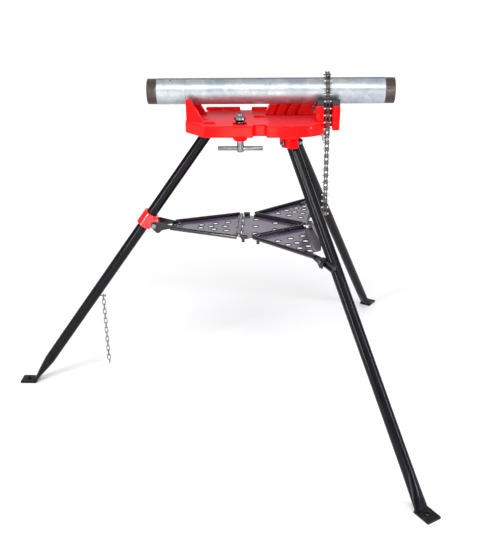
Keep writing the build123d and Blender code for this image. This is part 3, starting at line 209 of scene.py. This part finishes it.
# ---- material nodes -----------------------------------------------------------------------
class Surface:
    """A procedural material being wired up; every texture runs in the frame's own coordinates."""

    def __init__(self, name):
        self.material = bpy.data.materials.new(name)
        self.material.use_nodes = True
        self.tree = self.material.node_tree
        self.shader = self.tree.nodes["Principled BSDF"]
        self.where = self.add("ShaderNodeTexCoord").outputs["Object"]

    def add(self, kind, **settings):
        node = self.tree.nodes.new(kind)
        for key, value in settings.items():
            setattr(node, key, value)
        return node

    def link(self, source, target):
        self.tree.links.new(source, target)

    def put(self, **values):
        names = {"metallic": "Metallic", "coat": "Coat Weight", "coat_roughness": "Coat Roughness",
                 "specular": "Specular IOR Level"}
        for key, value in values.items():
            self.shader.inputs[names[key]].default_value = value

    def axis(self, which):
        split = self.add("ShaderNodeSeparateXYZ")
        self.link(self.where, split.inputs[0])
        return split.outputs[which]

    def noise(self, scale, detail=3.0, rough=0.55):
        node = self.add("ShaderNodeTexNoise")
        node.inputs["Scale"].default_value = scale
        node.inputs["Detail"].default_value = detail
        node.inputs["Roughness"].default_value = rough
        self.link(self.where, node.inputs["Vector"])
        return node.outputs["Fac"]

    def cells(self, scale, output="Distance"):
        node = self.add("ShaderNodeTexVoronoi")
        node.inputs["Scale"].default_value = scale
        self.link(self.where, node.inputs["Vector"])
        return node.outputs[output]

    def spread(self, value, low, high, start=0.3, end=0.7):
        node = self.add("ShaderNodeMapRange")
        self.link(value, node.inputs["Value"])
        for key, number in (("From Min", start), ("From Max", end), ("To Min", low), ("To Max", high)):
            node.inputs[key].default_value = number
        return node.outputs["Result"]

    def maths(self, operation, first, second=None, third=None):
        node = self.add("ShaderNodeMath", operation=operation)
        for place, value in enumerate((first, second, third)):
            if value is None:
                continue
            if isinstance(value, (int, float)):
                node.inputs[place].default_value = value
            else:
                self.link(value, node.inputs[place])
        return node.outputs[0]

    def mix(self, factor, first, second):
        node = self.add("ShaderNodeMix", data_type="RGBA")
        self.link(factor, node.inputs["Factor"])
        for socket, value in ((node.inputs[6], first), (node.inputs[7], second)):
            if isinstance(value, tuple):
                socket.default_value = (*value, 1)
            else:
                self.link(value, socket)
        return node.outputs[2]

    def colour(self, value):
        self.link(value, self.shader.inputs["Base Color"])

    def rough(self, value):
        self.link(value, self.shader.inputs["Roughness"])

    def bump(self, height, strength, distance):
        node = self.add("ShaderNodeBump")
        node.inputs["Strength"].default_value = strength
        node.inputs["Distance"].default_value = distance
        self.link(height, node.inputs["Height"])
        if self.shader.inputs["Normal"].is_linked:
            self.link(self.shader.inputs["Normal"].links[0].from_socket, node.inputs["Normal"])
        self.link(node.outputs["Normal"], self.shader.inputs["Normal"])

    def facing_up(self):
        node = self.add("ShaderNodeNewGeometry")
        split = self.add("ShaderNodeSeparateXYZ")
        self.link(node.outputs["Normal"], split.inputs[0])
        return split.outputs["Z"]


def red_paint():
    s = Surface("red_enamel")
    s.put(coat=0.10, coat_roughness=0.08, specular=0.06)
    large = s.noise(14, 2)
    fine = s.noise(520, 2, 0.6)
    deep = s.mix(s.spread(large, 0, 1), (0.74, 0.0008, 0.0016), (0.84, 0.0014, 0.0024))
    # Upward faces get a lighter, pinker speckle: real cast grain with a painted sheen on top.
    up = s.spread(s.facing_up(), 0, 1, 0.9, 0.99)
    grain_and_sheen = s.mix(s.spread(fine, 0, 1, 0.40, 0.64), (0.66, 0.006, 0.012), (0.86, 0.055, 0.075))
    s.colour(s.mix(up, deep, grain_and_sheen))
    s.rough(s.maths("MULTIPLY_ADD", up, 0.30, s.spread(fine, 0.24, 0.36)))
    s.bump(fine, 0.30, 0.0005)
    s.bump(s.noise(90, 3), 0.22, 0.0008)
    return s.material


def collar_paint():
    s = Surface("collar_enamel")
    s.put(coat=0.8, coat_roughness=0.05, specular=0.35)
    s.colour(s.mix(s.spread(s.noise(30, 2), 0, 1), (0.80, 0.002, 0.004), (0.92, 0.004, 0.006)))
    s.rough(s.spread(s.noise(140, 2), 0.24, 0.34))
    s.bump(s.noise(70, 2), 0.12, 0.0008)
    return s.material


def leg_paint():
    s = Surface("leg_enamel")
    s.put(coat=0.20, coat_roughness=0.05, specular=0.05)
    s.colour(s.mix(s.spread(s.noise(26, 3), 0, 1), (0.0030, 0.0028, 0.0042), (0.0065, 0.0058, 0.0085)))
    s.rough(s.spread(s.noise(40, 3), 0.20, 0.28))
    s.bump(s.noise(24, 2), 0.05, 0.0010)
    return s.material


def sheet_paint(name, dark, light, low, high, specular=0.4):
    s = Surface(name)
    s.put(coat=0.25, coat_roughness=0.16, specular=specular)
    s.colour(s.mix(s.spread(s.noise(22, 3), 0, 1), dark, light))
    s.rough(s.spread(s.noise(120, 3), low, high))
    s.bump(s.cells(900), 0.12, 0.0002)
    s.bump(s.noise(18, 2), 0.08, 0.004)
    return s.material


def tray_paint():
    s = Surface("tray_enamel")
    s.put(coat=0.40, coat_roughness=0.06, specular=0.22)
    # The flat up-facing sheet gets a lighter violet-grey, a painted sky reflection on the black paint; rails
    # and edges stay black.
    flat = s.spread(s.facing_up(), 0, 1, 0.985, 0.998)
    black = s.mix(s.spread(s.noise(30, 3), 0, 1), (0.006, 0.005, 0.008), (0.012, 0.010, 0.016))
    violet_reflection = s.mix(s.spread(s.noise(9, 3), 0, 1), (0.055, 0.046, 0.085), (0.135, 0.118, 0.190))
    s.colour(s.mix(flat, black, violet_reflection))
    s.rough(s.spread(s.noise(90, 3), 0.20, 0.32))
    s.bump(s.noise(11, 2), 0.10, 0.004)
    s.bump(s.noise(420, 2), 0.06, 0.0003)
    return s.material


def metal(name, dark, light, low, high, scale=160, scratch=0.15, metallic=1.0):
    s = Surface(name)
    s.put(metallic=metallic)
    s.colour(s.mix(s.spread(s.noise(scale, 4), 0, 1), dark, light))
    s.rough(s.spread(s.noise(scale * 2.3, 3), low, high))
    s.bump(s.noise(scale * 4, 2), scratch, 0.0003)
    return s.material


THREAD_LENGTH = 0.028
MARKING_LINE = 0.110    # a fine line round the pipe, measured from its rear end


def galvanised():
    s = Surface("galvanised_pipe")
    near_start = s.maths("LESS_THAN", s.axis("X"), pipe_lo.x + THREAD_LENGTH)
    near_end = s.maths("GREATER_THAN", s.axis("X"), pipe_hi.x - THREAD_LENGTH)
    thread = s.maths("MAXIMUM", near_start, near_end)
    patches = s.cells(75, output="Color")
    grey = s.add("ShaderNodeRGBToBW")
    s.link(patches, grey.inputs[0])
    spangle = s.mix(s.spread(grey.outputs[0], 0, 1, 0.2, 0.8), (0.33, 0.37, 0.41), (0.47, 0.50, 0.53))
    cloud = s.mix(s.spread(s.noise(28, 5, 0.65), 0, 1, 0.35, 0.65), (0.27, 0.32, 0.36), (0.53, 0.55, 0.56))
    body = s.mix(s.spread(s.noise(260, 2), 0.25, 0.6), spangle, cloud)
    blot = s.spread(s.noise(9, 3), 0, 1, 0.58, 0.74)
    body = s.mix(blot, body, (0.28, 0.32, 0.36))
    # A darker stripe along the upper front of the pipe, chosen by the surface normal: a painted dark
    # reflection.
    normal = s.add("ShaderNodeNewGeometry").outputs["Normal"]
    toward = s.add("ShaderNodeSeparateXYZ")
    s.link(normal, toward.inputs[0])
    dark_reflection_stripe = s.maths("MULTIPLY", s.spread(toward.outputs["Y"], 0, 1, -0.40, -0.16),
                     s.spread(toward.outputs["Y"], 1, 0, 0.45, 0.75))
    dark_reflection_stripe = s.maths("MULTIPLY", dark_reflection_stripe, s.spread(toward.outputs["Z"], 0, 1, 0.0, 0.3))
    body = s.mix(dark_reflection_stripe, body, (0.085, 0.11, 0.145))
    from_line = s.maths("ABSOLUTE", s.maths("SUBTRACT", s.axis("X"), pipe_lo.x + MARKING_LINE))
    line = s.maths("LESS_THAN", from_line, 0.0005)
    body = s.mix(line, body, (0.12, 0.15, 0.18))
    speck = s.maths("LESS_THAN", s.cells(34), 0.085)
    here = s.spread(s.noise(6, 1), 0, 1, 0.55, 0.60)
    body = s.mix(s.maths("MULTIPLY", speck, here), body, (0.10, 0.09, 0.09))
    cut = s.mix(s.spread(s.noise(300, 3), 0, 1), (0.035, 0.026, 0.022), (0.11, 0.085, 0.075))
    s.colour(s.mix(thread, body, cut))
    s.link(s.maths("MULTIPLY_ADD", thread, -0.25, 0.88), s.shader.inputs["Metallic"])
    s.rough(s.spread(s.noise(60, 4), 0.36, 0.50))
    s.bump(s.noise(75, 4), 0.12, 0.0010)
    s.bump(s.noise(600, 2), 0.12, 0.0003)
    return s.material


MATERIALS = {
    "red_paint": red_paint(),
    "leg_paint": leg_paint(),
    "tray_paint": tray_paint(),
    "link_paint": sheet_paint("link_enamel", (0.006, 0.006, 0.008), (0.012, 0.012, 0.015), 0.30, 0.42, 0.25),
    "jaw_steel": metal("jaw_black_steel", (0.030, 0.030, 0.034), (0.060, 0.060, 0.066), 0.38, 0.55,
                       240, 0.3, 0.8),
    "dark_bolts": metal("black_oxide", (0.10, 0.10, 0.11), (0.19, 0.19, 0.20), 0.30, 0.45),
    "zinc": metal("zinc_plate", (0.17, 0.185, 0.205), (0.27, 0.285, 0.305), 0.10, 0.18, 60, 0.05),
    "pin_steel": metal("plain_steel", (0.20, 0.20, 0.22), (0.34, 0.34, 0.36), 0.28, 0.42),
    "chain_steel": metal("chain_black", (0.055, 0.053, 0.052), (0.12, 0.115, 0.11), 0.30, 0.48,
                         300, 0.2, 0.9),
    "chain_pin_steel": metal("chain_pin", (0.42, 0.39, 0.36), (0.70, 0.67, 0.63), 0.18, 0.34, 300, 0.1),
    "screw_steel": metal("oiled_steel", (0.24, 0.24, 0.26), (0.40, 0.40, 0.42), 0.25, 0.40),
    "galvanised": galvanised(),
}


# ---- pieces -------------------------------------------------------------------------------
def smooth_by_angle(mesh, degrees):
    for polygon in mesh.polygons:
        polygon.use_smooth = True
    mesh.set_sharp_from_angle(angle=math.radians(degrees))


def hold(piece, node, body=None, slot=None, material=None):
    """Material and body of a new piece, the material picked by slot; node names the CAD piece it goes with.
    """
    slot = slot or SLOT_OF[node]
    piece.data.materials.clear()
    piece.data.materials.append(material or MATERIALS[slot])
    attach(piece, body or BODY_OF[node])
    return piece


def copied(node, name):
    """A clean mesh of a CAD node: welded, with flat areas as single faces."""
    mesh = NODES[node].data.copy()
    mesh.name = name
    clean = bmesh.new()
    clean.from_mesh(mesh)
    bmesh.ops.remove_doubles(clean, verts=clean.verts, dist=2e-6)
    bmesh.ops.dissolve_limit(clean, angle_limit=math.radians(0.4), verts=clean.verts, edges=clean.edges)
    clean.to_mesh(mesh)
    clean.free()
    piece = bpy.data.objects.new(name, mesh)
    bpy.context.scene.collection.objects.link(piece)
    return piece


def eased(node, width, segments=2, angle=32):
    """CAD node rebuilt with eased edges."""
    piece = copied(node, node + "_eased")
    smooth_by_angle(piece.data, angle)
    bevel = piece.modifiers.new("ease", "BEVEL")
    bevel.width = width
    bevel.segments = segments
    bevel.limit_method = "ANGLE"
    bevel.angle_limit = math.radians(angle)
    bevel.harden_normals = True
    bevel.use_clamp_overlap = True
    hold(piece, node)
    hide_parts(node)
    return piece


def cast(node, voxel, smooth, keep, material=None, thickening=()):
    """CAD node rebuilt with the soft edges and fillets of a casting; thin skins get boxes behind them."""
    piece = copied(node, node + "_cast")
    if thickening:
        form = bmesh.new()
        form.from_mesh(piece.data)
        for low, high in thickening:
            place = Matrix.Translation((low + high) / 2) @ Matrix.Diagonal((*(high - low), 1))
            bmesh.ops.create_cube(form, size=1.0, matrix=place)
        form.to_mesh(piece.data)
        form.free()
    bpy.context.view_layer.objects.active = piece
    for other in bpy.context.selected_objects:
        other.select_set(False)
    piece.select_set(True)
    remesh = piece.modifiers.new("voxels", "REMESH")
    remesh.mode = "VOXEL"
    remesh.voxel_size = voxel
    remesh.use_smooth_shade = True
    relax = piece.modifiers.new("relax", "SMOOTH")
    relax.factor = 0.5
    relax.iterations = smooth
    fewer = piece.modifiers.new("fewer", "DECIMATE")
    fewer.ratio = keep
    for modifier in list(piece.modifiers):
        bpy.ops.object.modifier_apply(modifier=modifier.name)
    smooth_by_angle(piece.data, 55)
    hold(piece, node, material=material)
    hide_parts(node)
    return piece


ROLLER_STEEL = metal("roller_steel", (0.16, 0.135, 0.115), (0.30, 0.265, 0.235), 0.24, 0.38, 280, 0.12)
LINK_STEEL = metal("storage_link_steel", (0.16, 0.16, 0.17), (0.28, 0.28, 0.29), 0.22, 0.34)

for name, item in NODES.items():
    item.data.materials.clear()
    item.data.materials.append(LINK_STEEL if name.startswith("storage") else MATERIALS[SLOT_OF[name]])

# edge bevel of each eased CAD node, in metres
EASED = {
    "jaw_right": 0.0004, "jaw_left": 0.0004, "jaw_bolts": 0.0006, "pivot_bolts": 0.0009, "pivot_nuts": 0.0008,
    "fork_bolts": 0.0007, "tray_fork": 0.0006, "fork_rivets": 0.0006,
    "wing_ear_right": 0.0007, "wing_ear_left": 0.0007, "wing_lug_right": 0.0006, "wing_lug_left": 0.0006,
    "wing_bolt_right": 0.0007, "wing_bolt_left": 0.0007, "brace_bar": 0.0006, "handle_nut": 0.0008,
    "chain_wrap_outer": 0.0003, "chain_wrap_inner": 0.0003,
    "chain_tail_outer": 0.0003, "chain_tail_inner": 0.0003,
    "chain_wrap_pins": 0.0008, "chain_tail_pins": 0.0008,
}
for node, width in EASED.items():
    eased(node, width)

# Boxes behind the thin skin at each front hood, one inside the rim and one on the hood's roof:
# from and to in x from the column, in y outward, and in height.
HOOD_BOXES = (
    (0.058, 0.098, 0.1302, 0.1340, 0.8410, 0.8500),
    (0.058, 0.097, 0.1325, 0.1480, 0.8410, 0.8448),
)
hood_skins = []
for side in (-1, 1):
    for x_low, x_high, y_in, y_out, z_low, z_high in HOOD_BOXES:
        ends = sorted((side * y_in, side * y_out))
        hood_skins.append((Vector((COLUMN_X + x_low, ends[0], z_low)),
                           Vector((COLUMN_X + x_high, ends[1], z_high))))
cast("head_casting", 0.0015, 6, 0.34, thickening=hood_skins)
cast("collar", 0.0011, 4, 0.5, collar_paint())


# ---- added detail -------------------------------------------------------------------------
def new_piece(name, build):
    """A mesh piece filled in by a function that gets an empty bmesh."""
    mesh = bpy.data.meshes.new(name)
    form = bmesh.new()
    build(form)
    form.to_mesh(mesh)
    form.free()
    piece = bpy.data.objects.new(name, mesh)
    bpy.context.scene.collection.objects.link(piece)
    smooth_by_angle(mesh, 40)
    return piece


def islands(node):
    """Corners of the box round each separate solid of a CAD node."""
    form = bmesh.new()
    form.from_mesh(NODES[node].data)
    bmesh.ops.remove_doubles(form, verts=form.verts, dist=2e-6)
    seen = set()
    boxes = []
    for first in form.verts:
        if first.index in seen:
            continue
        seen.add(first.index)
        queue, points = [first], []
        while queue:
            vert = queue.pop()
            points.append(NODES[node].matrix_world @ vert.co)
            for edge in vert.link_edges:
                other = edge.other_vert(vert)
                if other.index not in seen:
                    seen.add(other.index)
                    queue.append(other)
        low = Vector([min(point[k] for point in points) for k in range(3)])
        high = Vector([max(point[k] for point in points) for k in range(3)])
        boxes.append((low, high))
    form.free()
    return boxes


def add_torus(form, centre, radius, thickness, lift=0.0, around=28, ring=8):
    """Ring round a vertical axis, flattened underneath by sinking it."""
    rows = []
    for i in range(around):
        a = 2 * math.pi * i / around
        row = []
        for j in range(ring):
            b = 2 * math.pi * j / ring
            r = radius + thickness * math.cos(b)
            row.append(form.verts.new(centre + Vector((r * math.cos(a), r * math.sin(a),
                                                       lift + thickness * math.sin(b)))))
        rows.append(row)
    for i in range(around):
        for j in range(ring):
            form.faces.new((rows[i][j], rows[(i + 1) % around][j],
                            rows[(i + 1) % around][(j + 1) % ring], rows[i][(j + 1) % ring]))


def add_rod(form, start, end, radius, sides=20, chamfer=0.0):
    """Round bar between two points, with eased ends."""
    axis = (end - start).normalized()
    side = axis.orthogonal().normalized()
    other = axis.cross(side)
    stations = [(start, radius - chamfer), (start + axis * chamfer, radius),
                (end - axis * chamfer, radius), (end, radius - chamfer)]
    rings = []
    for spot, r in stations:
        rings.append([form.verts.new(spot + r * (side * math.cos(2 * math.pi * k / sides)
                                                  + other * math.sin(2 * math.pi * k / sides)))
                      for k in range(sides)])
    for first, second in zip(rings, rings[1:]):
        for k in range(sides):
            form.faces.new((first[k], first[(k + 1) % sides], second[(k + 1) % sides], second[k]))
    form.faces.new(list(reversed(rings[0])))
    form.faces.new(rings[-1])


def hole_centres(node, radius, top, depth):
    """Centres of the round vertical holes of one radius in a sheet, by vote of their wall faces."""
    votes = {}
    item = NODES[node]
    for face in item.data.polygons:
        normal = (item.matrix_world.to_3x3() @ face.normal).normalized()
        if abs(normal.z) > 0.05:
            continue
        spots = [item.matrix_world @ item.data.vertices[k].co for k in face.vertices]
        if max(p.z for p in spots) > top + 1e-4 or min(p.z for p in spots) < top - depth - 1e-4:
            continue
        flat = sum(spots, Vector()) / len(spots) + normal * radius
        key = (round(flat.x / 0.0015), round(flat.y / 0.0015))
        votes.setdefault(key, []).append(flat)
    groups = []
    for key, spots in votes.items():
        middle = sum(spots, Vector()) / len(spots)
        for group in groups:
            if (group[0] - middle).xy.length < 0.003:
                group[1] += len(spots)
                break
        else:
            groups.append([middle, len(spots)])
    return [Vector((middle.x, middle.y, top)) for middle, count in groups if count >= 16]


TRAY_TOP = 0.545
SHEET = 0.0016
TRAY_HOLE_R = 0.0085
TRAY_LIP_R = 0.0096
for sheet in ("tray_middle", "tray_rear", "tray_wing_right", "tray_wing_left"):
    centres = hole_centres(sheet, TRAY_HOLE_R, TRAY_TOP, SHEET)

    def lips(form, centres=centres):
        for centre in centres:
            add_torus(form, centre, TRAY_LIP_R, 0.0011, 0.0002)
    if centres:
        hold(new_piece(sheet + "_lips", lips), sheet)

PLATE_TOP = 0.875
PLATE_LIP = 0.0022
PLATE_HOLE_R = {"tool_hole_front": 0.016, "tool_hole_back": 0.017, "small_plate_hole": 0.006}
BRACE_SEAT_R = 0.019
plate_holes = []
for mount in frame["record"]["mounts"]:
    if mount["name"] in PLATE_HOLE_R:
        plate_holes.append((Vector(mount["pos_m"]), PLATE_HOLE_R[mount["name"]]))
for opening in frame["record"]["physics"]["openings"]:
    if opening["name"] in PLATE_HOLE_R:
        low, high = (Vector(corner) for corner in opening["box_m"])
        plate_holes.append(((low + high) / 2, PLATE_HOLE_R[opening["name"]]))


def plate_lips(form):
    for centre, radius in plate_holes + [(BRACE, BRACE_SEAT_R)]:
        place = Vector((centre.x, centre.y, PLATE_TOP))
        add_torus(form, place, radius + PLATE_LIP, PLATE_LIP, -0.0003, 40)


hold(new_piece("plate_lips", plate_lips), "head_casting")

FOOT_TOP = 0.007
for mount in frame["record"]["mounts"]:
    if not mount["name"].endswith("_hole") or not mount["name"].startswith("foot"):
        continue
    leg_name = "leg_" + mount["name"][5:-5]
    middle = Vector(mount["pos_m"])

    def bush(form, middle=middle):
        place = Vector((middle.x, middle.y, FOOT_TOP))
        add_torus(form, place, 0.0078, 0.0022, 0.0002)
        add_torus(form, place, 0.0102, 0.0012, 0.0)
    hold(new_piece(leg_name + "_bush", bush), leg_name)

ROLLER_R = 0.0058
for run in ("wrap", "tail"):
    pins = islands("chain_" + run + "_pins")

    def rollers(form, pins=pins):
        for low, high in pins:
            middle = (low + high) / 2
            for side in (-1, 1):
                add_rod(form, middle + Vector((side * 0.0004, 0, 0)), middle + Vector((side * 0.0050, 0, 0)),
                        ROLLER_R, 18, 0.0007)
    hold(new_piece("chain_" + run + "_rollers", rollers), "chain_" + run + "_pins", slot="chain_steel",
         material=ROLLER_STEEL)
